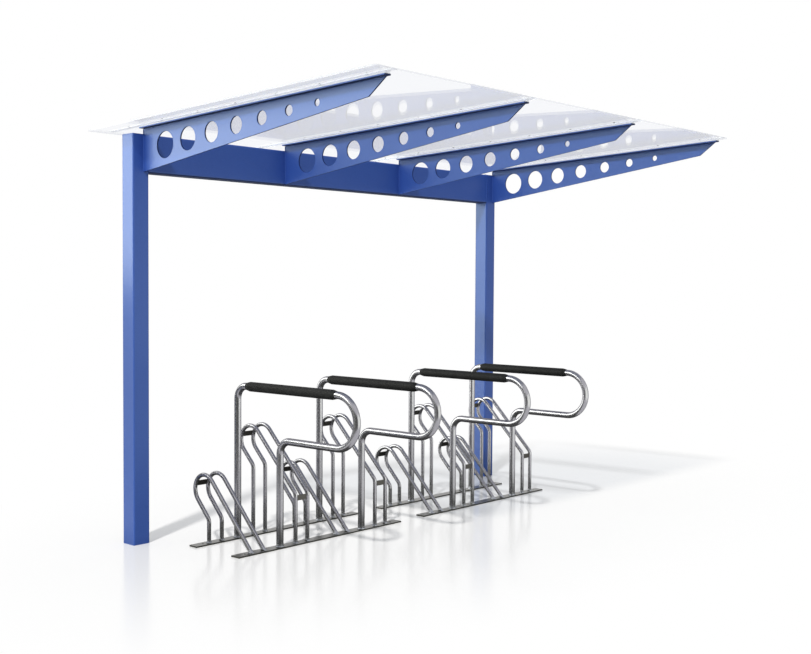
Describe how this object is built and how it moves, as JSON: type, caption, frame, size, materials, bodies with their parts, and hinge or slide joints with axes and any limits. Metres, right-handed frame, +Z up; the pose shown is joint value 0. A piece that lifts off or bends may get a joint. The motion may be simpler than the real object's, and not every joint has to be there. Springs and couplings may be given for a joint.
{
  "type": "cantilever bike shelter with bike rack",
  "caption": "Bike shelter: square posts and a rear beam carry tapered, drilled arms with a clear flat roof, over a rack of sleeved leaning hoops and low and high wheel holders.",
  "frame": {"origin": "centre of the left post's foot face, at ground level", "axes": "+X along the rear beam to the right post, -Y to the open side where the roof arms and the rack reach out, +Z up"},
  "size_m": [3.185, 2.098, 2.2972],
  "materials": {
    "blue_coat": "satin powder coat, medium blue",
    "tube_steel": "bright drawn tube",
    "rail_steel": "dull flat bar",
    "black_rubber": "matt black rubber",
    "white_seal": "matt white seal",
    "clamp_aluminium": "white anodised",
    "clear_sheet": "clear, glossy"
  },
  "bodies": {
    "root": {"left_post": "blue_coat", "left_post_cap": "blue_coat", "right_post": "blue_coat", "right_post_cap": "blue_coat", "rear_beam": "blue_coat", "arm_web_1": "blue_coat", "arm_flange_1": "blue_coat", "arm_web_2": "blue_coat", "arm_flange_2": "blue_coat", "arm_web_3": "blue_coat", "arm_flange_3": "blue_coat", "arm_web_4": "blue_coat", "arm_flange_4": "blue_coat", "seal_strip_1": "white_seal", "clamp_strip_1": "clamp_aluminium", "seal_strip_2": "white_seal", "clamp_strip_2": "clamp_aluminium", "seal_strip_3": "white_seal", "clamp_strip_3": "clamp_aluminium", "seal_strip_4": "white_seal", "clamp_strip_4": "clamp_aluminium", "roof_sheet_1": "clear_sheet", "roof_sheet_2": "clear_sheet", "roof_sheet_3": "clear_sheet", "front_rail_1": "rail_steel", "rear_rail_1": "rail_steel", "front_rail_2": "rail_steel", "rear_rail_2": "rail_steel", "low_holder_1": "tube_steel", "high_holder_1": "tube_steel", "hoop_1": "tube_steel", "sleeve_1": "black_rubber", "low_holder_2": "tube_steel", "high_holder_2": "tube_steel", "hoop_2": "tube_steel", "sleeve_2": "black_rubber", "low_holder_3": "tube_steel", "high_holder_3": "tube_steel", "hoop_3": "tube_steel", "sleeve_3": "black_rubber", "low_holder_4": "tube_steel", "high_holder_4": "tube_steel", "hoop_4": "tube_steel", "sleeve_4": "black_rubber"}
  },
  "joints": []
}
